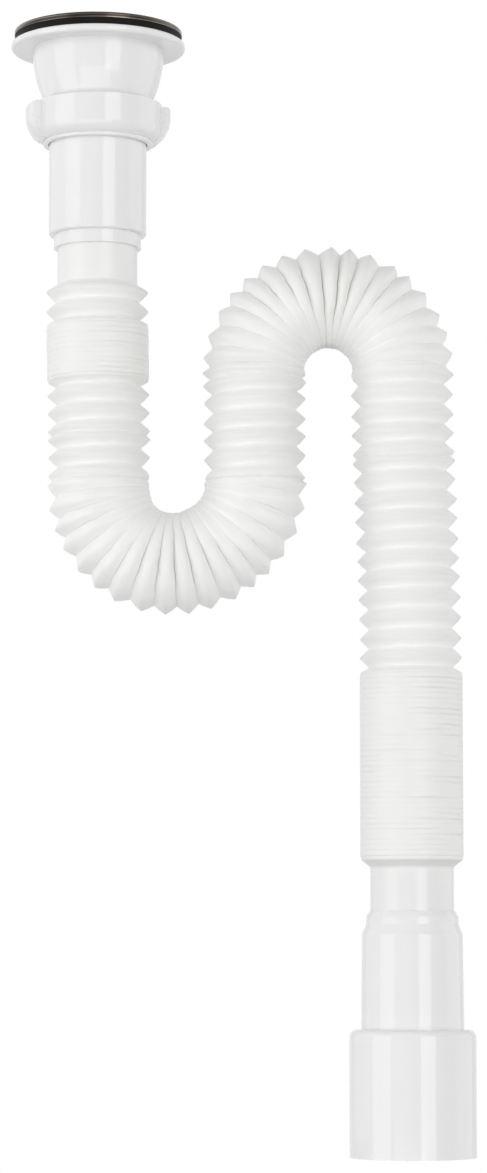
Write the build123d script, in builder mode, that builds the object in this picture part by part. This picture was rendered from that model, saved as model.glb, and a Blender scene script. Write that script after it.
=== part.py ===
import math
import os

from build123d import *

os.makedirs("parts", exist_ok=True)

# All sizes are in millimetres. The origin is the centre of the gasket's top
# face, where the sink sits. +Z is up along the inlet's axis, and the hose
# swings out along +X.

# Gasket and strainer
gasket_inset = 0.25
gasket_setback = 1.9
gasket_thickness = 2.8
strainer_radius = 33.75
strainer_rim_height = 2.2
strainer_sheet = 0.9
dish_clearance = 0.3
dish_taper = 4.9
dish_depth = 8.4
strainer_rim_round = 0.8
drain_hole_radius = 2.1
outer_ring_inset = 4.4
outer_ring_count = 12
inner_ring_inset = 10.0
inner_ring_count = 6

# Clamp screw and its insert
screw_shank_radius = 3.0
screw_head_radius = 5.4
screw_head_height = 2.6
screw_slot_width = 1.4
screw_slot_depth = 1.3
screw_reach = 34.0
screw_hole_clearance = 0.4
screw_thread_clearance = 0.05
insert_across_flats = 10.0
insert_height = 6.0

# Waste funnel
flange_radius = 35.0
flange_thickness = 3.0
flange_edge_round = 1.1
bowl_top_radius = 26.5
bowl_depth = 21.4
waist_radius = 21.5
funnel_wall = 2.4
tail_thread_radius = 23.9
tail_shoulder_height = 1.1
tail_length = 8.9
tail_chamfer = 0.8
spider_boss_radius = 7.8
spider_boss_height = 8.0
spider_rib_thickness = 2.4
spider_rib_height = 6.0
spider_rib_count = 3
rib_bite = 1.0

# Union nut and washer
nut_radius = 25.8
nut_top_overlap = 8.9
nut_thread_clearance = 0.06
nut_lower_bore_radius = 23.1
nut_straight_height = 9.8
nut_foot_radius = 22.5
nut_round_height = 5.2
nut_lip_radius = 22.1
nut_lip_height = 1.3
nut_seat_thickness = 3.3
nut_hole_radius = 19.8
nut_lip_round = 0.5
lug_radius = 29.2
lug_drop = 0.4
lug_straight_height = 4.5
lug_foot_radius = 23.8
lug_root_radius = 24.2
lug_width_angle = 33.0
lug_centre_angle = 14.5
lug_count = 2
lug_edge_round = 1.8
washer_radius = 22.6
washer_bore_radius = 18.0
washer_thickness = 2.2

# Inlet cuff
cuff_flange_radius = 22.6
cuff_flange_thickness = 2.0
cuff_radius = 19.6
cuff_wall = 2.4
cuff_length = 42.0
cuff_shoulder_round = 1.0
lip_radius = 17.5
lip_length = 5.2
hose_press = 0.04

# Hose: tube ends, pleats and centreline
inlet_tube_radius = 16.0
inlet_tube_insert = 13.0
inlet_tube_length = 14.9
neck_radius = 16.5
neck_length = 17.2
neck_insert = 14.0
neck_chamfer_height = 3.2
hose_bore_radius = 15.2
peak_radius = 20.3
valley_radius = 16.4
bend_peak_radius = 20.7
bend_valley_radius = 17.5
fold_ring_radius = 17.9
fold_reach = 20.0
pinched_valley_radius = 17.8
block_peak_radius = 20.4
block_valley_radius = 19.2
block_corner_radius = 19.8
open_pitch = 7.8
part_pitch = 5.6
bend_pitch = 5.4
pinched_pitch = 3.2
closed_pitch = 2.05
first_flank = 3.0
block_face = 1.9
upper_block_pleats = 12
lower_block_pleats = 37
drop_height = 80.7
drop_lean = 1.1
lower_bend_radius = 31.0
lower_bend_pleats = 17
rise_height = 46.0
rise_lead = 4.7
upper_bend_radius = 29.4
upper_bend_pleats = 18
fall_height = 120.9
fall_lead = 1.9
fall_lean = 3.2

# Outlet cuff
outlet_lip_radius = 18.3
outlet_lip_top_chamfer = 2.3
outlet_lip_length = 5.1
outlet_lip_edge = 0.4
spigot_radius = 20.3
spigot_draft = 0.4
spigot_shoulder_height = 4.0
spigot_length = 37.1
collar_radius = 25.0
collar_length = 49.8
collar_shoulder_round = 3.2
collar_mouth_round = 0.7
outlet_wall = 2.4
neck_clearance = 0.06

# Levels, from the sink seat downwards
flange_top_z = -gasket_thickness
flange_foot_z = flange_top_z - flange_thickness
waist_z = flange_foot_z - bowl_depth
tail_top_z = waist_z - tail_shoulder_height
tail_end_z = tail_top_z - tail_length
washer_foot_z = tail_end_z - washer_thickness
cuff_flange_foot_z = washer_foot_z - cuff_flange_thickness
nut_top_z = tail_end_z + nut_top_overlap
cuff_end_z = cuff_flange_foot_z - cuff_length + cuff_flange_thickness
lip_end_z = cuff_end_z - lip_length
tube_end_z = lip_end_z - inlet_tube_length
hose_top_z = lip_end_z + inlet_tube_insert
lower_bend_z = tube_end_z - drop_height
upper_bend_z = lower_bend_z + rise_height
block_top_z = upper_bend_z - fall_height
rise_x = drop_lean + 2 * lower_bend_radius
fall_x = rise_x + 2 * upper_bend_radius
outlet_x = fall_x + fall_lean
block_foot_z = block_top_z - (lower_block_pleats - 1) * closed_pitch
neck_top_z = block_foot_z - neck_chamfer_height
outlet_lip_z = neck_top_z - neck_length
hose_end_z = outlet_lip_z - neck_insert
dish_floor_z = -dish_depth

# Radii that follow the strainer's rim and the funnel's mouth
gasket_radius = strainer_radius - gasket_inset
mouth_radius = bowl_top_radius - funnel_wall
gasket_bore_radius = mouth_radius + gasket_setback
dish_top_radius = mouth_radius - dish_clearance
dish_floor_radius = dish_top_radius - dish_taper

# Rubber ring under the sink
with BuildPart() as flange_gasket:
    with BuildSketch(Plane.XY.offset(-gasket_thickness)):
        Circle(gasket_radius)
        Circle(gasket_bore_radius, mode=Mode.SUBTRACT)
    extrude(amount=gasket_thickness)

# Pressed strainer: turned-down rim, conical dish and a floor of drain holes
dish_run = dish_top_radius - dish_floor_radius
dish_fall = strainer_rim_height + dish_depth
dish_slant = math.hypot(dish_run, dish_fall)
under_top_radius = dish_top_radius + strainer_sheet * (dish_slant - dish_run) / dish_fall
under_floor_radius = dish_floor_radius + strainer_sheet * (dish_slant - dish_run) / dish_fall
with BuildPart() as strainer:
    with BuildSketch(Plane.XZ) as strainer_outline:
        with BuildLine():
            Polyline(
                (0, dish_floor_z),
                (dish_floor_radius, dish_floor_z),
                (dish_top_radius, strainer_rim_height),
                (strainer_radius, strainer_rim_height),
                (strainer_radius, 0),
                (strainer_radius - strainer_sheet, 0),
                (strainer_radius - strainer_sheet, strainer_rim_height - strainer_sheet),
                (under_top_radius, strainer_rim_height - strainer_sheet),
                (under_floor_radius, dish_floor_z - strainer_sheet),
                (0, dish_floor_z - strainer_sheet),
                close=True,
            )
        make_face()
        fillet(strainer_outline.vertices().group_by(Axis.X)[-1].sort_by(Axis.Y)[-1], strainer_rim_round)
    revolve(axis=Axis.Z)
    with BuildSketch(Plane.XY.offset(dish_floor_z - strainer_sheet)):
        Circle(screw_shank_radius + screw_hole_clearance)
        with PolarLocations(dish_floor_radius - outer_ring_inset, outer_ring_count):
            Circle(drain_hole_radius)
        with PolarLocations(dish_floor_radius - inner_ring_inset, inner_ring_count):
            Circle(drain_hole_radius)
    extrude(amount=2 * strainer_sheet, mode=Mode.SUBTRACT)

# Slotted clamp screw with a raised head on the strainer's floor
with BuildPart() as strainer_screw:
    with BuildSketch(Plane.XZ):
        with BuildLine():
            Polyline(
                (0, dish_floor_z - screw_reach),
                (screw_shank_radius, dish_floor_z - screw_reach),
                (screw_shank_radius, dish_floor_z),
                (screw_head_radius, dish_floor_z),
                (screw_head_radius, dish_floor_z + screw_head_height / 2),
            )
            RadiusArc(
                (screw_head_radius, dish_floor_z + screw_head_height / 2),
                (0, dish_floor_z + screw_head_height),
                -2.2 * screw_head_radius,
            )
            Line((0, dish_floor_z + screw_head_height), (0, dish_floor_z - screw_reach))
        make_face()
    revolve(axis=Axis.Z)
    with BuildSketch(Plane.XY.offset(dish_floor_z + screw_head_height)):
        Rectangle(3 * screw_head_radius, screw_slot_width)
    extrude(amount=-screw_slot_depth, mode=Mode.SUBTRACT)

# Funnel: flange, bowl curving in to the waist, and the threaded tail
tail_bore_radius = waist_radius - funnel_wall
boss_top_z = tail_top_z
boss_foot_z = boss_top_z - spider_boss_height
with BuildPart() as waste_funnel:
    with BuildSketch(Plane.XZ) as funnel_outline:
        with BuildLine():
            Polyline(
                (mouth_radius, flange_foot_z),
                (mouth_radius, flange_top_z),
                (flange_radius, flange_top_z),
                (flange_radius, flange_foot_z),
                (bowl_top_radius, flange_foot_z),
            )
            TangentArc((bowl_top_radius, flange_foot_z), (waist_radius, waist_z), tangent=(0, -1))
            Polyline(
                (waist_radius, waist_z),
                (tail_thread_radius, tail_top_z),
                (tail_thread_radius, tail_end_z + tail_chamfer),
                (tail_thread_radius - tail_chamfer, tail_end_z),
                (tail_bore_radius, tail_end_z),
                (tail_bore_radius, waist_z),
            )
            TangentArc((mouth_radius, flange_foot_z), (tail_bore_radius, waist_z), tangent=(0, -1))
        make_face()
        fillet(funnel_outline.vertices().group_by(Axis.X)[-1], flange_edge_round)
    revolve(axis=Axis.Z)
    with BuildSketch(Plane.XY.offset(boss_foot_z)):
        Circle(spider_boss_radius)
    extrude(amount=spider_boss_height)
    with BuildSketch(Plane.XY.offset(boss_foot_z)):
        for k in range(spider_rib_count):
            turn = math.radians(90 + 360 * k / spider_rib_count)
            rib_length = tail_bore_radius + rib_bite
            with Locations((rib_length / 2 * math.cos(turn), rib_length / 2 * math.sin(turn))):
                Rectangle(rib_length, spider_rib_thickness, rotation=math.degrees(turn))
    extrude(amount=spider_rib_height)
    with BuildSketch(Plane.XY.offset(boss_top_z)):
        RegularPolygon(insert_across_flats / 2, 6, major_radius=False)
    extrude(amount=-insert_height, mode=Mode.SUBTRACT)
    with BuildSketch(Plane.XY.offset(boss_foot_z)):
        Circle(screw_shank_radius + screw_hole_clearance)
    extrude(amount=spider_boss_height, mode=Mode.SUBTRACT)

# Hexagonal threaded insert held in the spider's boss
with BuildPart() as screw_insert:
    with BuildSketch(Plane.XY.offset(boss_top_z)):
        RegularPolygon(insert_across_flats / 2, 6, major_radius=False)
        Circle(screw_shank_radius + screw_thread_clearance, mode=Mode.SUBTRACT)
    extrude(amount=-insert_height)

# Union nut: threaded ring, rounded foot, seat for the cuff and two grip lugs
nut_bore_radius = tail_thread_radius + nut_thread_clearance
nut_bend_z = nut_top_z - nut_straight_height
nut_foot_z = nut_bend_z - nut_round_height
nut_lip_z = nut_foot_z - nut_lip_height
lug_top_z = nut_top_z - lug_drop
lug_bend_z = lug_top_z - lug_straight_height
with BuildPart() as union_nut:
    with BuildSketch(Plane.XZ) as nut_outline:
        with BuildLine():
            Polyline(
                (nut_foot_radius, nut_foot_z),
                (nut_lip_radius, nut_foot_z),
                (nut_lip_radius, nut_lip_z),
                (nut_hole_radius, nut_lip_z),
                (nut_hole_radius, cuff_flange_foot_z),
                (nut_lower_bore_radius, cuff_flange_foot_z),
                (nut_lower_bore_radius, tail_end_z),
                (nut_bore_radius, tail_end_z),
                (nut_bore_radius, nut_top_z),
                (nut_radius, nut_top_z),
                (nut_radius, nut_bend_z),
            )
            TangentArc((nut_radius, nut_bend_z), (nut_foot_radius, nut_foot_z), tangent=(0, -1))
        make_face()
        fillet(nut_outline.vertices().group_by(Axis.Y)[0], nut_lip_round)
    revolve(axis=Axis.Z)
    for k in range(lug_count):
        turn = math.radians(lug_centre_angle - lug_width_angle / 2 + 360 * k / lug_count)
        side = Plane(
            origin=(0, 0, 0),
            x_dir=(math.cos(turn), math.sin(turn), 0),
            z_dir=(math.sin(turn), -math.cos(turn), 0),
        )
        with BuildSketch(side) as lug_outline:
            with BuildLine():
                Polyline(
                    (lug_foot_radius, nut_foot_z),
                    (nut_foot_radius, nut_foot_z),
                    (nut_foot_radius, cuff_flange_foot_z),
                    (lug_root_radius, cuff_flange_foot_z),
                    (lug_root_radius, lug_top_z),
                    (lug_radius, lug_top_z),
                    (lug_radius, lug_bend_z),
                )
                TangentArc((lug_radius, lug_bend_z), (lug_foot_radius, nut_foot_z), tangent=(0, -1))
            make_face()
            fillet(lug_outline.vertices().sort_by(Axis.Y)[-2:].sort_by(Axis.X)[-1], lug_edge_round)
        revolve(axis=Axis.Z, revolution_arc=lug_width_angle)

# Flat washer that seals the funnel's tail on the cuff
with BuildPart() as union_washer:
    with BuildSketch(Plane.XY.offset(washer_foot_z)):
        Circle(washer_radius)
        Circle(washer_bore_radius, mode=Mode.SUBTRACT)
    extrude(amount=washer_thickness)

# Inlet cuff: flange inside the nut, sleeve, and the lip that grips the hose
cuff_bore_radius = cuff_radius - cuff_wall
lip_bore_radius = inlet_tube_radius - hose_press
with BuildPart() as inlet_cuff:
    with BuildSketch(Plane.XZ) as cuff_outline:
        with BuildLine():
            Polyline(
                (cuff_bore_radius, washer_foot_z),
                (cuff_flange_radius, washer_foot_z),
                (cuff_flange_radius, cuff_flange_foot_z),
                (cuff_radius, cuff_flange_foot_z),
                (cuff_radius, cuff_end_z),
                (lip_radius, cuff_end_z),
                (lip_radius, lip_end_z),
                (lip_bore_radius, lip_end_z),
                (lip_bore_radius, cuff_end_z + cuff_wall),
                (cuff_bore_radius, cuff_end_z + 2 * cuff_wall),
                close=True,
            )
        make_face()
        fillet(cuff_outline.vertices().group_by(Axis.Y)[1].sort_by(Axis.X)[-1], cuff_shoulder_round)
    revolve(axis=Axis.Z)

# Centreline of the hose, drawn upright in the XZ plane
with BuildLine(Plane.XZ) as centreline:
    Line((0, hose_top_z), (0, tube_end_z))
    Spline(
        (0, tube_end_z),
        (drop_lean, lower_bend_z),
        tangents=[(0, -1), (0, -1)],
    )
    CenterArc((drop_lean + lower_bend_radius, lower_bend_z), lower_bend_radius, 180, 180)
    Line((rise_x, lower_bend_z), (rise_x, upper_bend_z))
    CenterArc((rise_x + upper_bend_radius, upper_bend_z), upper_bend_radius, 180, -180)
    Spline(
        (fall_x, upper_bend_z),
        (outlet_x, block_top_z),
        tangents=[(0, -1), (0, -1)],
    )
    Line((outlet_x, block_top_z), (outlet_x, hose_end_z))

path = centreline.wire()


def spread(start, finish, gaps):
    """Peak positions from start to finish, spaced in proportion to the gaps."""
    scale = (finish - start) / sum(gaps)
    places = [start]
    for gap in gaps:
        places.append(places[-1] + gap * scale)
    return places


# Distances along the centreline where each run of pleats ends
path_length = path.length
tube_end = hose_top_z - tube_end_z
upper_block_start = tube_end + first_flank + open_pitch + part_pitch
upper_block_end = upper_block_start + (upper_block_pleats - 1) * closed_pitch
block_end = path_length - (block_foot_z - hose_end_z)
block_start = block_end - (block_top_z - block_foot_z)
drop_end = sum(edge.length for edge in path.edges()[0:2])
lower_bend_end = drop_end + math.pi * lower_bend_radius
rise_end = lower_bend_end + rise_height
upper_bend_end = rise_end + math.pi * upper_bend_radius

drop_gaps = [part_pitch, open_pitch, open_pitch, pinched_pitch, open_pitch, open_pitch, pinched_pitch]
lower_bend_gaps = [bend_pitch] * lower_bend_pleats
rise_gaps = [pinched_pitch] + [open_pitch] * 5
upper_bend_gaps = [pinched_pitch] + [bend_pitch] * upper_bend_pleats
fall_gaps = [open_pitch] * 4 + [pinched_pitch] + [open_pitch] * 10 + [part_pitch]

peaks = [tube_end + first_flank, tube_end + first_flank + open_pitch]
peaks += spread(upper_block_start, upper_block_end, [closed_pitch] * (upper_block_pleats - 1))
peaks += spread(upper_block_end, drop_end, drop_gaps)[1:]
peaks += spread(drop_end, lower_bend_end, lower_bend_gaps)[1:]
peaks += spread(lower_bend_end, rise_end - rise_lead, rise_gaps)[1:]
peaks += spread(rise_end - rise_lead, upper_bend_end + fall_lead, upper_bend_gaps)[1:]
peaks += spread(upper_bend_end + fall_lead, block_start, fall_gaps)[1:]
peaks += spread(block_start, block_end, [closed_pitch] * (lower_block_pleats - 1))[1:]


def in_bend(distance):
    """Whether a distance along the centreline falls in one of the bends."""
    return drop_end < distance < lower_bend_end or rise_end < distance < upper_bend_end


def in_block(distance):
    """Whether a distance along the centreline falls in one of the folded blocks."""
    return upper_block_start <= distance <= upper_block_end or block_start <= distance


def square(distance):
    """The plane across the centreline at a distance along it."""
    return Plane(
        origin=path.position_at(distance, position_mode=PositionMode.LENGTH),
        x_dir=(0, 1, 0),
        z_dir=path.tangent_at(distance, position_mode=PositionMode.LENGTH),
    )


# Rings of the hose as distance along the centreline and radius
block_corners = [upper_block_start, upper_block_end, block_start]
rings = [(0, inlet_tube_radius), (tube_end, inlet_tube_radius)]
for k, place in enumerate(peaks):
    crest = peak_radius
    if in_bend(place):
        crest = bend_peak_radius
    if in_block(place):
        crest = block_peak_radius
    if min(abs(place - corner) for corner in block_corners) < closed_pitch / 2:
        crest = block_corner_radius
    rings.append((place, crest))
    if k + 1 < len(peaks):
        following = peaks[k + 1]
        valley = (place + following) / 2
        dip = valley_radius
        if in_bend(valley):
            dip = bend_valley_radius
        if following - place < (closed_pitch + part_pitch) / 2:
            dip = pinched_valley_radius
        if in_block(place) and in_block(following):
            dip = block_valley_radius
        elif in_block(place):
            valley = place + block_face
        elif in_block(following):
            valley = following - block_face
        rings.append((valley, dip))
rings.append((block_end + neck_chamfer_height, neck_radius))
rings.append((path_length, neck_radius))

# One-piece hose: plain end, open pleats, folded blocks, two bends and the neck.
# The pleats of a bend are folded shut on its inner side, which closes their
# valleys there.
fold_offset = fold_reach - fold_ring_radius
lower_bend_axis = Axis((drop_lean + lower_bend_radius, 0, lower_bend_z), (0, -1, 0))
upper_bend_axis = Axis((rise_x + upper_bend_radius, 0, upper_bend_z), (0, 1, 0))
with BuildPart() as corrugated_hose:
    for distance, radius in rings:
        with BuildSketch(square(distance)):
            Circle(radius)
    loft(ruled=True)
    with BuildSketch(square(drop_end)):
        with Locations((0, fold_offset)):
            Circle(fold_ring_radius)
    revolve(axis=lower_bend_axis, revolution_arc=180)
    with BuildSketch(square(rise_end)):
        with Locations((0, -fold_offset)):
            Circle(fold_ring_radius)
    revolve(axis=upper_bend_axis, revolution_arc=180)
    with BuildSketch(Plane.XY.offset(hose_top_z)):
        Circle(hose_bore_radius)
    sweep(path=path, mode=Mode.SUBTRACT)

# Outlet cuff: lip round the hose's neck, 40 mm spigot and 50 mm collar
outlet_lip_foot_z = outlet_lip_z - outlet_lip_length
spigot_top_z = outlet_lip_foot_z - spigot_shoulder_height
collar_top_z = spigot_top_z - spigot_length
collar_foot_z = collar_top_z - collar_length
neck_bore_radius = neck_radius + neck_clearance
spigot_bore_radius = spigot_radius - spigot_draft - outlet_wall
collar_bore_radius = collar_radius - outlet_wall
outlet_plane = Plane(origin=(outlet_x, 0, 0), x_dir=(1, 0, 0), z_dir=(0, -1, 0))
outlet_axis = Axis((outlet_x, 0, 0), (0, 0, 1))
with BuildPart() as outlet_cuff:
    with BuildSketch(outlet_plane) as outlet_outline:
        with BuildLine():
            Polyline(
                (neck_bore_radius, outlet_lip_z),
                (neck_bore_radius + outlet_lip_edge, outlet_lip_z),
                (outlet_lip_radius, outlet_lip_z - outlet_lip_top_chamfer),
                (outlet_lip_radius, outlet_lip_foot_z),
                (spigot_radius - spigot_draft, spigot_top_z),
                (spigot_radius, collar_top_z),
                (collar_radius, collar_top_z),
                (collar_radius, collar_foot_z),
                (collar_bore_radius, collar_foot_z),
                (collar_bore_radius, collar_top_z - outlet_wall),
                (spigot_bore_radius, collar_top_z - outlet_wall),
                (spigot_bore_radius, spigot_top_z - outlet_wall),
                (neck_bore_radius, outlet_lip_foot_z - outlet_wall),
                close=True,
            )
        make_face()
        collar_corners = outlet_outline.vertices().group_by(Axis.X)[-1].sort_by(Axis.Y)
        fillet(collar_corners[-1], collar_shoulder_round)
        fillet(collar_corners[0], collar_mouth_round)
    revolve(axis=outlet_axis)

strainer.part.label = "strainer"
strainer_screw.part.label = "strainer_screw"
flange_gasket.part.label = "flange_gasket"
waste_funnel.part.label = "waste_funnel"
screw_insert.part.label = "screw_insert"
union_nut.part.label = "union_nut"
union_washer.part.label = "union_washer"
inlet_cuff.part.label = "inlet_cuff"
corrugated_hose.part.label = "corrugated_hose"
outlet_cuff.part.label = "outlet_cuff"

export_step(strainer.part, "parts/strainer.step")
export_step(strainer_screw.part, "parts/strainer_screw.step")
export_step(flange_gasket.part, "parts/flange_gasket.step")
export_step(waste_funnel.part, "parts/waste_funnel.step")
export_step(screw_insert.part, "parts/screw_insert.step")
export_step(union_nut.part, "parts/union_nut.step")
export_step(union_washer.part, "parts/union_washer.step")
export_step(inlet_cuff.part, "parts/inlet_cuff.step")
export_step(corrugated_hose.part, "parts/corrugated_hose.step")
export_step(outlet_cuff.part, "parts/outlet_cuff.step")
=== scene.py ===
import math
import random
from bisect import bisect_right
from collections import namedtuple

import bpy
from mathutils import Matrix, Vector, noise


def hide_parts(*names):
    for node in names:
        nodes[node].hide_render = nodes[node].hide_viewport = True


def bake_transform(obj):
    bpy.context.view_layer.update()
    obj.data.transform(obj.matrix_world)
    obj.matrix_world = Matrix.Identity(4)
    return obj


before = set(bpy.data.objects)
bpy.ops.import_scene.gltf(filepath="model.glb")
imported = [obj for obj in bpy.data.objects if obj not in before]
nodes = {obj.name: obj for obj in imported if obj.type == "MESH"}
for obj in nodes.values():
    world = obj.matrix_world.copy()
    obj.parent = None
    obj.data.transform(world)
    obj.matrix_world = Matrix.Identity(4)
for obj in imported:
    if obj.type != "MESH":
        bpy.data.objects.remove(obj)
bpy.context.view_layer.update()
scene = bpy.context.scene
MM = 0.001

# Hose centreline, in millimetres in the XZ plane, from the inlet cuff down
HOSE_TOP_Z = -73.6
TUBE_END_Z = -101.5
LOWER_BEND_Z = -182.2
UPPER_BEND_Z = -136.2
BLOCK_TOP_Z = -257.1
BLOCK_FOOT_Z = -330.9
HOSE_END_Z = -365.3
DROP_LEAN = 1.1
LOWER_BEND_RADIUS = 31.0
LOWER_BEND_SWAY = 2.0
UPPER_BEND_RADIUS = 29.4
FALL_LEAN = 3.2
RISE_X = DROP_LEAN + 2 * LOWER_BEND_RADIUS
FALL_X = RISE_X + 2 * UPPER_BEND_RADIUS
OUTLET_X = FALL_X + FALL_LEAN
PATH_STEP = 0.25

# Open pleats, in millimetres
TUBE_RADIUS = 16.0
NECK_RADIUS = 16.5
BORE_RADIUS = 15.2
PEAK_RADIUS = 20.3
VALLEY_RADIUS = 16.4
BEND_PEAK_RADIUS = 20.7
BEND_VALLEY_RADIUS = 17.5
PINCHED_VALLEY_RADIUS = 18.7
OPEN_PITCH = 7.8
PART_PITCH = 5.6
BEND_PITCH = 5.4
PINCHED_PITCH = 3.2
PINCHED_SHARE = 0.75
FIRST_STEP = 0.2
FIRST_FLANK = 3.0
RISE_LEAD = 4.7
FALL_LEAD = 1.9
BEND_MARGIN = 1.0

# Folded blocks, in millimetres
BLOCK_RADIUS = 20.4
BLOCK_END_DROP = 0.3
BLOCK_FACE = 1.9
BLOCK_GROOVE = 0.40
BLOCK_POWER = 5
CLOSED_PITCH = 2.05
UPPER_BLOCK_PLEATS = 12
LOWER_BLOCK_PLEATS = 37
NECK_CHAMFER = 3.2

# Rings of the plain stretches: steps along the hose and out from a radius, in millimetres
TUBE_TOP = ((0.0, 0.0), (0.4, 0.0))
TUBE_FOOT = ((-0.9, 0.0), (-0.4, 0.0), (0.0, 0.1))
BLOCK_SHOULDER = ((0.3, -0.4), (0.7, -0.9), (1.1, -1.5))
NECK_TOP = ((-0.5, 0.5), (0.0, 0.15), (0.5, 0.0), (1.0, 0.0))
NECK_FOOT = ((-0.4, 0.0), (0.0, 0.0))

# Mesh of the hose: segments round it, places of the rings on a flank, spacing in the bore
HOSE_SEGMENTS = 72
CREST_STEPS = (0.0, 0.45, 0.92)
BLOCK_STEPS = (0.0, 0.65, 0.9)
BORE_STEP = 4.0

# Shape of a flank, and how it folds shut on the inner side of a bend; a ramp is start and span
CREST_ROUND = 0.07
LOBE_POWER = 4.5
LOBE_EASE = 1.3
FOLD_MARGIN = 10.0
FOLD_EASE = 14.0
FOLD_SHUT = 0.93
FOLD_LEAD = 0.25
FOLD_SIDE_LEAD = 0.65
FOLD_SPAN = 1.15
BEND_MIDDLE_SPAN = 0.5
INNER_DRAW = 0.85
INNER_DRAW_RAMP = (0.2, 0.6)

# Unevenness of the blown pleats; a noise is its scale round and along the hose and its offset
SEED = 11
PLACE_JITTER = 0.4
BEND_JITTER = 0.75
RADIUS_JITTER = 0.12
RISE_TILT = 2.7
TILT_EASE = 6
CRINKLE = 0.16
CRINKLE_MARGIN = 1.0
CRINKLE_NOISE = (2.2, 0.16, 0)
FINE_CRINKLE = 0.4
FINE_SCALE = 4
WAVE = 1.8
WAVE_SCALE = 1.4
WAVE_OFFSET = Vector((7, 3, 1))
BEND_WAVE = 1.2
BEND_WAVE_SCALE = 3.2
BEND_PATCH = 0.45
PATCH_NOISE = (1.6, 0.13, 5)
GROOVE_NOISE = (1.1, 0.8, 0)
GROOVE_MEAN = 0.5
GROOVE_SWING = 1.2
GROOVE_LEAST = 0.1
GROOVE_RIGHT = 1.2
GROOVE_LEFT = 0.5
GROOVE_TURN = 0.7

# Shades of the hose, kept on its mesh: painted shade in creases, painted light on thin walls,
# plain smooth ends
SHADES = ("painted_shade", "painted_light", "plain")
BEND_PAINTED_SHADE = 0.9
BEND_END_PAINTED_SHADE = 0.06
VALLEY_SHADE_RAMP = (0.9, 0.1)
INNER_PAINTED_SHADE = 0.5
INNER_PAINTED_SHADE_RAMP = (0.95, 0.05)
INNER_FADE = 0.75
INNER_FADE_RAMP = (0.45, 0.45)
FOOT_PAINTED_SHADE = 0.2
FOOT_EASE = 0.9
FOOT_PAST = 0.6
FOLDED_PAINTED_SHADE = 0.04
OUTER_PAINTED_LIGHT = 0.9
OUTER_PAINTED_LIGHT_RAMP = (-0.1, 0.8)
VALLEY_LIGHT_RAMP = (0.2, 0.7)
DEEP_RAMP = (0.4, 0.4)
BEND_END_TIGHT = 0.2
TUBE_POLISH = 0.3
TUBE_POLISH_END = 0.6


def mix(a, b, t):
    """Straight-line mix of two numbers."""
    return a + (b - a) * t


def ease(t):
    """Smooth step from 0 to 1."""
    t = min(max(t, 0.0), 1.0)
    return t * t * (3 - 2 * t)


def ramp(value, start, span):
    """Smooth step from 0 at a start to 1 a span further on."""
    return ease((value - start) / span)


def centreline():
    """Points (x, z) along the hose at a fine spacing, with the distance to each."""
    points = []

    def lean(x0, x1, z0, z1):
        count = max(2, int(abs(z1 - z0) / PATH_STEP))
        for k in range(count):
            t = k / count
            points.append((mix(x0, x1, ease(t)), mix(z0, z1, t)))

    def turn(cx, cz, radius, first, last, sway=0.0):
        count = int(math.pi * radius / PATH_STEP)
        for k in range(count):
            a = math.radians(mix(first, last, k / count))
            aside = sway * math.sin(a) ** 2
            points.append((cx + radius * math.cos(a) - aside, cz + radius * math.sin(a)))

    lower_x = DROP_LEAN + LOWER_BEND_RADIUS
    upper_x = RISE_X + UPPER_BEND_RADIUS
    lean(0, 0, HOSE_TOP_Z, TUBE_END_Z)
    lean(0, DROP_LEAN, TUBE_END_Z, LOWER_BEND_Z)
    turn(lower_x, LOWER_BEND_Z, LOWER_BEND_RADIUS, 180, 360, LOWER_BEND_SWAY)
    lean(RISE_X, RISE_X, LOWER_BEND_Z, UPPER_BEND_Z)
    turn(upper_x, UPPER_BEND_Z, UPPER_BEND_RADIUS, 180, 0)
    lean(FALL_X, OUTLET_X, UPPER_BEND_Z, BLOCK_TOP_Z)
    lean(OUTLET_X, OUTLET_X, BLOCK_TOP_Z, HOSE_END_Z)
    points.append((OUTLET_X, HOSE_END_Z))
    distances = [0.0]
    for a, b in zip(points, points[1:]):
        distances.append(distances[-1] + math.dist(a, b))
    return points, distances


POINTS, DISTANCES = centreline()
HOSE_LENGTH = DISTANCES[-1]

# Marks along the hose, as distances from its top
TUBE_END = HOSE_TOP_Z - TUBE_END_Z
DROP_END = TUBE_END + TUBE_END_Z - LOWER_BEND_Z
LOWER_BEND_END = DROP_END + math.pi * LOWER_BEND_RADIUS
RISE_END = LOWER_BEND_END + UPPER_BEND_Z - LOWER_BEND_Z
UPPER_BEND_END = RISE_END + math.pi * UPPER_BEND_RADIUS
BLOCK_END = HOSE_LENGTH - (BLOCK_FOOT_Z - HOSE_END_Z)
BLOCK_START = BLOCK_END - (BLOCK_TOP_Z - BLOCK_FOOT_Z)
UPPER_BLOCK_START = TUBE_END + FIRST_FLANK + OPEN_PITCH + PART_PITCH
UPPER_BLOCK_END = UPPER_BLOCK_START + (UPPER_BLOCK_PLEATS - 1) * CLOSED_PITCH
BEND_ENTRY = RISE_END - RISE_LEAD
BEND_EXIT = UPPER_BEND_END + FALL_LEAD

# Gaps between neighbouring crests, in proportion
DROP_GAPS = [PART_PITCH] + [OPEN_PITCH, OPEN_PITCH, PINCHED_PITCH] * 2
LOWER_BEND_GAPS = [BEND_PITCH] * 17
RISE_GAPS = [PINCHED_PITCH] + [OPEN_PITCH] * 5
UPPER_BEND_GAPS = [PINCHED_PITCH] + [BEND_PITCH] * 18
FALL_GAPS = [OPEN_PITCH] * 4 + [PINCHED_PITCH] + [OPEN_PITCH] * 10 + [PART_PITCH]


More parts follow.
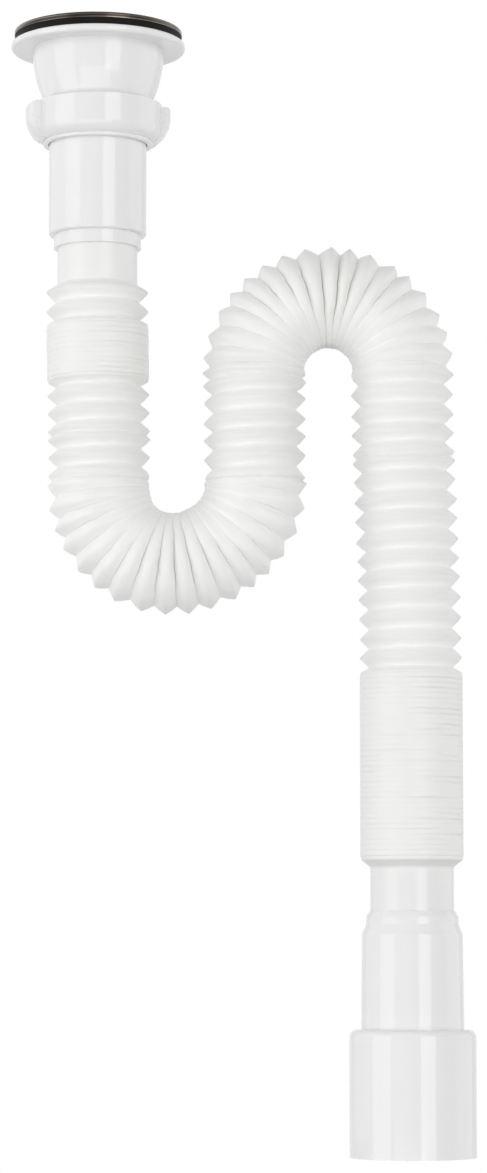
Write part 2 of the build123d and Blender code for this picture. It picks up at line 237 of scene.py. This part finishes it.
def on_path(distance):
    """Place and direction on the centreline at a distance along it."""
    low = min(max(bisect_right(DISTANCES, distance) - 1, 0), len(DISTANCES) - 2)
    span = DISTANCES[low + 1] - DISTANCES[low]
    t = (distance - DISTANCES[low]) / span
    a, b = POINTS[low], POINTS[low + 1]
    before = POINTS[max(low - 1, 0)]
    after = POINTS[min(low + 2, len(POINTS) - 1)]
    place = (mix(a[0], b[0], t), mix(a[1], b[1], t))
    first = Vector((b[0] - before[0], 0, b[1] - before[1])).normalized()
    last = Vector((after[0] - a[0], 0, after[1] - a[1])).normalized()
    return place, first.lerp(last, t).normalized()


def spread(start, finish, gaps):
    """Peak positions from start to finish, spaced in proportion to the gaps."""
    scale = (finish - start) / sum(gaps)
    places = [start]
    for gap in gaps:
        places.append(places[-1] + gap * scale)
    return places


def open_peaks():
    """The peaks of the two runs of open pleats, each a list of distances."""
    first = TUBE_END + FIRST_FLANK
    top = [first, first + OPEN_PITCH, UPPER_BLOCK_START]
    run = spread(UPPER_BLOCK_END, DROP_END, DROP_GAPS)
    run += spread(DROP_END, LOWER_BEND_END, LOWER_BEND_GAPS)[1:]
    run += spread(LOWER_BEND_END, BEND_ENTRY, RISE_GAPS)[1:]
    run += spread(BEND_ENTRY, BEND_EXIT, UPPER_BEND_GAPS)[1:]
    run += spread(BEND_EXIT, BLOCK_START, FALL_GAPS)[1:]
    return top, run


def bent(distance):
    """True where the centreline is in one of the bends."""
    in_lower = DROP_END - BEND_MARGIN < distance < LOWER_BEND_END + BEND_MARGIN
    return in_lower or BEND_ENTRY < distance < BEND_EXIT


# A ring of the skin; its flank is 0 on the crest and 1 in the valley
Ring = namedtuple("Ring", "distance crest depth flank groove")


def plain(mark, radius, steps):
    """Rings of a plain stretch, in steps along from a mark and out from a radius."""
    return [Ring(mark + along, radius + out, 0.0, 0.0, 0.0) for along, out in steps]


def down(start, finish, crest, valley):
    """Rings from a crest to just before the valley that follows it."""
    depth = crest - valley
    return [Ring(mix(start, finish, v), crest, depth, v, 0.0) for v in CREST_STEPS]


def up(start, finish, valley, crest):
    """Rings from just after a valley to just before the crest that follows it."""
    depth = crest - valley
    return [Ring(mix(finish, start, v), crest, depth, v, 0.0) for v in CREST_STEPS[:0:-1]]


def pleat_run(places, luck, ends):
    """Rings of open pleats with a crest at each place; an end can have its own radius."""
    last = len(places) - 1
    crests = []
    for k, place in enumerate(places):
        inner = 0 < k < last
        reach = BEND_JITTER if bent(place) else PLACE_JITTER
        nudge = luck.uniform(-reach, reach) if inner else 0.0
        swell = luck.uniform(-RADIUS_JITTER, RADIUS_JITTER) if inner else 0.0
        base = BEND_PEAK_RADIUS if bent(place) else PEAK_RADIUS
        if k == 0 and ends[0]:
            base = ends[0]
        if k == last and ends[1]:
            base = ends[1]
        crests.append((place + nudge, base + swell))
    rings = []
    for k in range(last):
        a, a_radius = crests[k]
        b, b_radius = crests[k + 1]
        dip = (a + b) / 2
        valley = BEND_VALLEY_RADIUS if bent(dip) else VALLEY_RADIUS
        if b - a < PINCHED_SHARE * BEND_PITCH:
            valley = PINCHED_VALLEY_RADIUS
        if k == 0 and ends[0]:
            dip = a + BLOCK_FACE
        if k == last - 1 and ends[1]:
            dip = b - BLOCK_FACE
        rings += down(a, dip, a_radius, valley)
        rings.append(Ring(dip, a_radius, a_radius - valley, 1.0, 0.0))
        rings += up(dip, b, valley, b_radius)
    return rings


def folded(start, count):
    """Rings of folded pleats: broad touching crests, with a fine groove between neighbours."""
    half = CLOSED_PITCH / 2
    rings = []
    for k in range(count - 1):
        a = start + k * CLOSED_PITCH
        crest = BLOCK_RADIUS - (BLOCK_END_DROP if k == 0 else 0.0)
        after = BLOCK_RADIUS - (BLOCK_END_DROP if k == count - 2 else 0.0)
        for v in BLOCK_STEPS:
            rings.append(Ring(a + v * half, crest, 0.0, 0.0, v**BLOCK_POWER))
        for v in (1.0, *BLOCK_STEPS[:0:-1]):
            rings.append(Ring(a + (2 - v) * half, after, 0.0, 0.0, v**BLOCK_POWER))
    end = start + (count - 1) * CLOSED_PITCH
    rings.append(Ring(end, BLOCK_RADIUS - BLOCK_END_DROP, 0.0, 0.0, 0.0))
    return rings


def hose_rings():
    """Every ring of the hose's skin, from the inlet down."""
    luck = random.Random(SEED)
    top, run = open_peaks()
    block_crest = BLOCK_RADIUS - BLOCK_END_DROP
    rings = plain(0.0, TUBE_RADIUS, TUBE_TOP)
    rings += plain(TUBE_END, TUBE_RADIUS, TUBE_FOOT)
    rings += up(TUBE_END + FIRST_STEP, top[0], TUBE_RADIUS + FIRST_STEP, PEAK_RADIUS)
    rings += pleat_run(top, luck, (None, block_crest))
    rings += folded(UPPER_BLOCK_START, UPPER_BLOCK_PLEATS)[:-1]
    rings += pleat_run(run, luck, (block_crest, block_crest))
    rings += folded(BLOCK_START, LOWER_BLOCK_PLEATS)
    rings += plain(BLOCK_END, BLOCK_RADIUS, BLOCK_SHOULDER)
    rings += plain(BLOCK_END + NECK_CHAMFER, NECK_RADIUS, NECK_TOP)
    rings += plain(HOSE_LENGTH, NECK_RADIUS, NECK_FOOT)
    return rings


def inward(distance):
    """How far the pleats are folded shut on a bend's inner side: negative in the lower bend."""

    def amount(start, finish):
        into = ease((distance - start + FOLD_MARGIN) / FOLD_EASE)
        return into * ease((finish + FOLD_MARGIN - distance) / FOLD_EASE)

    return amount(RISE_END, UPPER_BEND_END) - amount(DROP_END, LOWER_BEND_END)


def bend_middle(distance):
    """1 at the middle of a bend, falling to 0 towards its ends."""
    lower = abs(2 * (distance - DROP_END) / (LOWER_BEND_END - DROP_END) - 1)
    upper = abs(2 * (distance - RISE_END) / (UPPER_BEND_END - RISE_END) - 1)
    return 1 - ease(min(lower, upper) / BEND_MIDDLE_SPAN)


def tilt_at(distance):
    """Slope of the pleats on the rise, easing in and out."""
    run = (distance - LOWER_BEND_END) / (RISE_END - LOWER_BEND_END)
    slope = math.tan(math.radians(RISE_TILT))
    return slope * ease(TILT_EASE * run) * ease(TILT_EASE * (1 - run))


def crest_shape(v):
    """Fall from a rounded crest, 0, to a sharp valley, 1."""
    top = math.sqrt(1 + CREST_ROUND**2) - CREST_ROUND
    return (math.sqrt(v * v + CREST_ROUND**2) - CREST_ROUND) / top


def noise_spot(a, distance, scale_round, scale_along, offset):
    """Where a point of the skin lies in a noise."""
    round_way = Vector((math.cos(a), math.sin(a), 0))
    return scale_round * round_way + Vector((offset, 0, scale_along * distance))


def pleat_radius(ring, fold, facing, a):
    """Radius on a ring: its flank's, folded shut and drawn in on the inner side of a bend."""
    lead = mix(FOLD_SIDE_LEAD, FOLD_LEAD, bend_middle(ring.distance))
    patch = BEND_PATCH * noise.noise(noise_spot(a, ring.distance, *PATCH_NOISE))
    shut = abs(fold) * FOLD_SHUT * ease((facing + lead + patch) / FOLD_SPAN)
    lobe = abs(fold) * ease(LOBE_EASE * (facing + 1))
    fall = mix(crest_shape(ring.flank), ring.flank**LOBE_POWER, lobe)
    drawn = abs(fold) * INNER_DRAW * ramp(facing, *INNER_DRAW_RAMP)
    return ring.crest - ring.depth * (1 - shut) * fall - drawn


def crinkle(distance, fold, a):
    """Small dents in the open pleats: how far out, and how far along, a point is moved."""
    spot = noise_spot(a, distance, *CRINKLE_NOISE)
    out = noise.noise(spot) + FINE_CRINKLE * noise.noise(FINE_SCALE * spot)
    along = WAVE * noise.noise(WAVE_SCALE * spot + WAVE_OFFSET)
    along += BEND_WAVE * abs(fold) * noise.noise(BEND_WAVE_SCALE * spot)
    return CRINKLE * out, CRINKLE * along


def groove_depth(ring, a):
    """Depth of the groove between two folded pleats: uneven, and finer on the left."""
    spot = noise_spot(a, ring.distance, *GROOVE_NOISE)
    cut = min(max(GROOVE_MEAN + GROOVE_SWING * noise.noise(spot), GROOVE_LEAST), 1.0)
    left = ease(0.5 + GROOVE_TURN * math.cos(a))
    return BLOCK_GROOVE * ring.groove * cut * mix(GROOVE_RIGHT, GROOVE_LEFT, left)


def painted_shade_at(ring, fold, facing):
    """Painted shade: how much darker the colour is made at the bottom of a valley, the inside of a
    bend or the foot of the block.
    """
    below = ring.distance - BLOCK_END
    if below > 0:
        fade = ease((NECK_CHAMFER + FOOT_PAST - below) / FOOT_EASE)
        return FOOT_PAINTED_SHADE * ease(below / FOOT_EASE) * fade
    if ring.distance > BLOCK_START:
        return FOLDED_PAINTED_SHADE
    middle = bend_middle(ring.distance)
    valley = ramp(ring.flank, *VALLEY_SHADE_RAMP) * abs(fold) * ease(1 + facing)
    valley *= 1 - INNER_FADE * ramp(facing, *INNER_FADE_RAMP)
    inner = INNER_PAINTED_SHADE * middle * ramp(facing, *INNER_PAINTED_SHADE_RAMP)
    return valley * mix(BEND_END_PAINTED_SHADE, BEND_PAINTED_SHADE, middle) + inner


def painted_light_at(ring, fold, facing):
    """Painted light: how much lighter the colour is made, standing in for light through the thin
    wall, in open valleys and under the lower bend.
    """
    tight = abs(fold) * mix(BEND_END_TIGHT, 1.0, bend_middle(ring.distance))
    deep = ramp(ring.depth / (BEND_PEAK_RADIUS - BEND_VALLEY_RADIUS), *DEEP_RAMP)
    valley = (1 - tight) * deep * ramp(ring.flank, *VALLEY_LIGHT_RAMP)
    under = max(-fold, 0.0) * OUTER_PAINTED_LIGHT * ramp(-facing, *OUTER_PAINTED_LIGHT_RAMP)
    return min(1.0, valley + under)


def plain_at(ring):
    """How smooth the skin is: 1 on the neck, less on the tube above, 0 on the pleats."""
    if ring.distance < TUBE_END - TUBE_POLISH_END:
        return TUBE_POLISH
    return 1.0 if ring.distance > BLOCK_END + NECK_CHAMFER else 0.0


ANGLES = [2 * math.pi * k / HOSE_SEGMENTS for k in range(HOSE_SEGMENTS)]


def round_point(place, along, r, a, shift=0.0):
    """A point at a radius and an angle round the centreline, shifted along it, in metres."""
    side = Vector((along.z, 0, -along.x))
    p = Vector((place[0], 0, place[1])) + along * shift
    p += side * (r * math.cos(a)) + Vector((0, r * math.sin(a), 0))
    return p * MM


def skin_ring(ring):
    """The points of one ring of the skin, with the shades at each."""
    place, along = on_path(min(max(ring.distance, 0.0), HOSE_LENGTH))
    fold = inward(ring.distance)
    tilt = tilt_at(ring.distance)
    open_pleat = TUBE_END + CRINKLE_MARGIN < ring.distance < BLOCK_START - CRINKLE_MARGIN
    points, shades = [], []
    for a in ANGLES:
        facing = math.cos(a) * (1 if fold > 0 else -1)
        r = pleat_radius(ring, fold, facing, a)
        shift = 0.0
        if open_pleat:
            out, shift = crinkle(ring.distance, fold, a)
            r += out
        if ring.groove > 0:
            r -= groove_depth(ring, a)
        shift += r * math.cos(a) * tilt
        points.append(round_point(place, along, r, a, shift))
        shades.append((painted_shade_at(ring, fold, facing), painted_light_at(ring, fold, facing), plain_at(ring)))
    return points, shades


def hose_mesh():
    """The hose as one hollow tube: the skin, then the plain bore back to the first ring."""
    verts, faces, rows, shades = [], [], [], []
    for ring in hose_rings():
        rows.append(len(verts))
        points, ring_shades = skin_ring(ring)
        verts += points
        shades += ring_shades
    steps = round(HOSE_LENGTH / BORE_STEP)
    for j in range(steps, -1, -1):
        place, along = on_path(HOSE_LENGTH * j / steps)
        rows.append(len(verts))
        verts += [round_point(place, along, BORE_RADIUS, a) for a in ANGLES]
    for i, j in zip(rows, rows[1:] + rows[:1]):
        for k in range(HOSE_SEGMENTS):
            m = (k + 1) % HOSE_SEGMENTS
            faces.append((i + k, i + m, j + m, j + k))
    mesh = bpy.data.meshes.new("hose")
    mesh.from_pydata(verts, [], faces)
    mesh.update()
    for name, values in zip(SHADES, zip(*shades)):
        shade = mesh.attributes.new(name, "FLOAT", "POINT")
        for k, value in enumerate(values):
            shade.data[k].value = value
    for polygon in mesh.polygons:
        polygon.use_smooth = True
    return mesh


hose = bpy.data.objects.new("hose", hose_mesh())
scene.collection.objects.link(hose)
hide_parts("corrugated_hose")
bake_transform(hose)

# Finishes; lengths in metres
CLOUD_DETAIL = 4.0
GRAIN_FINENESS = 12
BUMP_DISTANCE = 0.0002
# Colour of the painted shade in the hose's creases, inside its bends and at the block's foot
PAINTED_SHADE_COLOUR = (0.50, 0.49, 0.46, 1)
# Colour of the painted light in open valleys and under the lower bend, standing in for light
# through the thin wall
PAINTED_LIGHT_COLOUR = (0.945, 0.947, 0.935, 1)
PLAIN_SHADE = (0.84, 0.84, 0.836, 1)
PLAIN_ROUGH = 0.2
# The strainer's turned-down edge, between these radii, takes a painted dark reflection with faint
# brownish streaks
RIM_INNER = 0.0322
RIM_OUTER = 0.0334
RIM_DARK_REFLECTION = (0.035, 0.030, 0.026, 1)
RIM_STREAK_REFLECTION = (0.20, 0.175, 0.155, 1)
RIM_STREAK_SCALE = (16, 16, 1500)
RIM_STREAK_LOW = 0.42
RIM_STREAK_HIGH = 0.68


def add_node(tree, kind, inputs, **settings):
    """A new shader node; each of its inputs is given a value or the socket that feeds it."""
    node = tree.nodes.new("ShaderNode" + kind)
    for name, value in settings.items():
        setattr(node, name, value)
    for key, value in inputs.items():
        if isinstance(value, bpy.types.NodeSocket):
            tree.links.new(value, node.inputs[key])
        else:
            node.inputs[key].default_value = value
    return node


def mottled(name, first, last, scale, rough, bump, metallic=0.0, specular=0.5):
    """A finish whose colour and roughness drift a little over the piece."""
    material = bpy.data.materials.new(name)
    material.use_nodes = True
    tree = material.node_tree
    shader = tree.nodes["Principled BSDF"]
    place = add_node(tree, "TexCoord", {}).outputs["Object"]
    cloud = add_node(tree, "TexNoise", {"Vector": place, "Scale": scale, "Detail": CLOUD_DETAIL})
    drift = cloud.outputs["Fac"]
    shades = {"Factor": drift, "A": (*first, 1), "B": (*last, 1)}
    colour = add_node(tree, "Mix", shades, data_type="RGBA")
    tree.links.new(colour.outputs["Result"], shader.inputs["Base Color"])
    reach = {"Value": drift, "To Min": rough[0], "To Max": rough[1]}
    roughness = add_node(tree, "MapRange", reach)
    tree.links.new(roughness.outputs["Result"], shader.inputs["Roughness"])
    shader.inputs["Metallic"].default_value = metallic
    shader.inputs["Specular IOR Level"].default_value = specular
    if bump:
        grain = add_node(tree, "TexNoise", {"Vector": place, "Scale": GRAIN_FINENESS * scale})
        height = {"Height": grain.outputs["Fac"], "Strength": bump, "Distance": BUMP_DISTANCE}
        relief = add_node(tree, "Bump", height)
        tree.links.new(relief.outputs["Normal"], shader.inputs["Normal"])
    return material


def mix_by(material, attribute, socket, value, data_type):
    """Mixes a value into one input of a finish where an attribute of the mesh is high."""
    tree = material.node_tree
    target = tree.nodes["Principled BSDF"].inputs[socket]
    amount = add_node(tree, "Attribute", {}, attribute_name=attribute).outputs["Fac"]
    parts = {"Factor": amount, "A": target.links[0].from_socket, "B": value}
    blend = add_node(tree, "Mix", parts, data_type=data_type)
    tree.links.new(blend.outputs["Result"], target)


def paint_rim_reflection(material):
    """The turned-down edge is painted dark as a painted reflection of dark surroundings, with
    faint brownish streaks of painted reflection round it.
    """
    tree = material.node_tree
    target = tree.nodes["Principled BSDF"].inputs["Base Color"]
    bright = target.links[0].from_socket
    place = add_node(tree, "TexCoord", {}).outputs["Object"]
    flat = add_node(tree, "VectorMath", {0: place, 1: (1, 1, 0)}, operation="MULTIPLY")
    reach = add_node(tree, "VectorMath", {0: flat.outputs["Vector"]}, operation="LENGTH")
    band = {"Value": reach.outputs["Value"], "From Min": RIM_INNER, "From Max": RIM_OUTER}
    edge = add_node(tree, "MapRange", band)
    # Noise stretched round the rim sets where the brownish streaks of painted reflection lie
    squeeze = add_node(tree, "VectorMath", {0: place, 1: RIM_STREAK_SCALE}, operation="MULTIPLY")
    drawn = add_node(tree, "TexNoise", {"Vector": squeeze.outputs["Vector"], "Scale": 1.0})
    band = {"Value": drawn.outputs["Fac"], "From Min": RIM_STREAK_LOW, "From Max": RIM_STREAK_HIGH}
    streaks = add_node(tree, "MapRange", band)
    parts = {"Factor": streaks.outputs["Result"], "A": RIM_DARK_REFLECTION, "B": RIM_STREAK_REFLECTION}
    shade = add_node(tree, "Mix", parts, data_type="RGBA")
    parts = {"Factor": edge.outputs["Result"], "A": bright, "B": shade.outputs["Result"]}
    blend = add_node(tree, "Mix", parts, data_type="RGBA")
    tree.links.new(blend.outputs["Result"], target)


moulding = mottled(
    "white_moulding",
    first=(0.835, 0.835, 0.835),
    last=(0.865, 0.865, 0.865),
    scale=60,
    rough=(0.05, 0.08),
    bump=0.006,
)
hose_white = mottled(
    "white_hose",
    first=(0.865, 0.867, 0.848),
    last=(0.90, 0.902, 0.883),
    scale=80,
    rough=(0.34, 0.48),
    bump=0.05,
)
rubber = mottled(
    "rubber",
    first=(0.006, 0.005, 0.0045),
    last=(0.012, 0.0105, 0.0095),
    scale=90,
    rough=(0.5, 0.65),
    bump=0.2,
    specular=0.09,
)
steel = mottled(
    "steel",
    first=(0.50, 0.50, 0.51),
    last=(0.62, 0.62, 0.63),
    scale=70,
    rough=(0.12, 0.24),
    bump=0.02,
    metallic=1.0,
)
rim_steel = mottled(
    "rim_steel",
    first=(0.50, 0.50, 0.51),
    last=(0.62, 0.62, 0.63),
    scale=70,
    rough=(0.16, 0.28),
    bump=0.02,
    metallic=1.0,
)
brass = mottled(
    "brass",
    first=(0.60, 0.44, 0.17),
    last=(0.72, 0.54, 0.24),
    scale=90,
    rough=(0.25, 0.36),
    bump=0.03,
    metallic=1.0,
)
# Painted light mixed into the hose's colour in open valleys and under the lower bend
mix_by(hose_white, "painted_light", "Base Color", PAINTED_LIGHT_COLOUR, "RGBA")
# Painted shade mixed into the hose's colour in creases, inside the bends and at the block's foot
mix_by(hose_white, "painted_shade", "Base Color", PAINTED_SHADE_COLOUR, "RGBA")
mix_by(hose_white, "plain", "Base Color", PLAIN_SHADE, "RGBA")
mix_by(hose_white, "plain", "Roughness", PLAIN_ROUGH, "FLOAT")
# Painted dark reflection, with brownish streaks, on the strainer's turned-down edge
paint_rim_reflection(rim_steel)

FINISHES = {
    "flange_gasket": rubber,
    "strainer": rim_steel,
    "strainer_screw": steel,
    "screw_insert": brass,
    "waste_funnel": moulding,
    "union_nut": moulding,
    "union_washer": rubber,
    "inlet_cuff": moulding,
    "outlet_cuff": moulding,
}
for name, material in FINISHES.items():
    nodes[name].data.materials.clear()
    nodes[name].data.materials.append(material)
hose.data.materials.append(hose_white)

# Pale floor well below the outlet, running out to plain white; lengths in metres
WHITE = (1, 1, 1, 1)
FLOOR_X = 0.06
FLOOR_Z = -2.40
FLOOR_SIZE = 40.0
FLOOR_NEAR = 1.5
FLOOR_FAR = 7.0
FLOOR_WHITE = 0.75


def background_rays(tree):
    """1 for the rays that see the background: camera, glossy and transmission."""
    rays = add_node(tree, "LightPath", {}).outputs
    pair = {0: rays["Is Camera Ray"], 1: rays["Is Glossy Ray"]}
    either = add_node(tree, "Math", pair, operation="MAXIMUM")
    pair = {0: either.outputs["Value"], 1: rays["Is Transmission Ray"]}
    return add_node(tree, "Math", pair, operation="MAXIMUM").outputs["Value"]


def whiten_floor(material):
    """Shows the paint as white, more so further out, and lets a camera below see through."""
    tree = material.node_tree
    paint = tree.nodes["Principled BSDF"].outputs["BSDF"]
    place = add_node(tree, "TexCoord", {}).outputs["Object"]
    reach = add_node(tree, "VectorMath", {0: place}, operation="LENGTH")
    fade_values = {
        "Value": reach.outputs["Value"],
        "From Min": FLOOR_NEAR,
        "From Max": FLOOR_FAR,
        "To Min": FLOOR_WHITE,
        "To Max": 1.0,
    }
    fade = add_node(tree, "MapRange", fade_values)
    pair = {0: fade.outputs["Result"], 1: background_rays(tree)}
    amount = add_node(tree, "Math", pair, operation="MULTIPLY")
    white = add_node(tree, "Emission", {"Color": WHITE, "Strength": 1.0})
    parts = {"Fac": amount.outputs["Value"], 1: paint, 2: white.outputs["Emission"]}
    pale = add_node(tree, "MixShader", parts)
    under = add_node(tree, "NewGeometry", {}).outputs["Backfacing"]
    clear = add_node(tree, "BsdfTransparent", {})
    parts = {"Fac": under, 1: pale.outputs["Shader"], 2: clear.outputs["BSDF"]}
    whole = add_node(tree, "MixShader", parts)
    tree.links.new(whole.outputs["Shader"], tree.nodes["Material Output"].inputs["Surface"])


bpy.ops.mesh.primitive_plane_add(size=FLOOR_SIZE, location=(FLOOR_X, 0, FLOOR_Z))
floor = bpy.context.object
floor.name = "floor"
floor_paint = mottled(
    "floor_paint",
    first=(0.80, 0.80, 0.80),
    last=(0.84, 0.84, 0.84),
    scale=3,
    rough=(0.6, 0.7),
    bump=0,
)
whiten_floor(floor_paint)
floor.data.materials.append(floor_paint)

# World: even soft light, with plain white behind the object
AMBIENT = 0.45
world = bpy.data.worlds.new("studio")
scene.world = world
world.use_nodes = True
sky = world.node_tree
sky.nodes.clear()
light = {"Value": background_rays(sky), "To Min": AMBIENT, "To Max": 1.0}
strength = add_node(sky, "MapRange", light).outputs["Result"]
backing = add_node(sky, "Background", {"Color": WHITE, "Strength": strength})
add_node(sky, "OutputWorld", {"Surface": backing.outputs["Background"]})

# Soft boxes left and right of the camera, one low, one above and a wall at each side
AIM = Vector((0.06, 0.0, -0.22))


def softbox(name, azimuth, distance, height, width, tall, radiance):
    """A rectangular lamp at an azimuth from the camera's side, aimed at the object."""
    lamp = bpy.data.lights.new(name, "AREA")
    lamp.shape = "RECTANGLE"
    lamp.size = width
    lamp.size_y = tall
    lamp.energy = radiance * math.pi * width * tall
    box = bpy.data.objects.new(name, lamp)
    a = math.radians(azimuth)
    box.location = (AIM.x + distance * math.sin(a), -distance * math.cos(a), height)
    box.rotation_mode = "QUATERNION"
    box.rotation_quaternion = (AIM - box.location).to_track_quat("-Z", "Y")
    box.visible_camera = False
    scene.collection.objects.link(box)


softbox("left_box", azimuth=-61, distance=1.7, height=-0.15, width=1.20, tall=1.9, radiance=1.3)
softbox("right_box", azimuth=27, distance=1.7, height=0.055, width=0.85, tall=1.29, radiance=2.15)
softbox("low_box", azimuth=-5, distance=2.0, height=-1.03, width=2.4, tall=1.0, radiance=1.3)
softbox("top_box", azimuth=10, distance=1.2, height=1.00, width=2.0, tall=1.2, radiance=0.15)
softbox("left_wall", azimuth=-110, distance=1.6, height=0.35, width=1.6, tall=1.9, radiance=0.5)
softbox("right_wall", azimuth=105, distance=1.6, height=-0.20, width=1.4, tall=1.9, radiance=0.6)

# Camera at the photograph's viewing angle; its place in metres, its tilt in degrees
CAMERA_PLACE = (0.0586, -1.440, -0.3664)
CAMERA_TILT = 95.7
lens = bpy.data.cameras.new("camera")
lens.sensor_width = 36.0
lens.lens = 111.68
lens.clip_start = 0.01
lens.clip_end = 50.0
camera = bpy.data.objects.new("camera", lens)
camera.location = CAMERA_PLACE
camera.rotation_euler = (math.radians(CAMERA_TILT), 0, 0)
scene.collection.objects.link(camera)
scene.camera = camera
scene.view_settings.view_transform = "Standard"

bpy.context.view_layer.update()
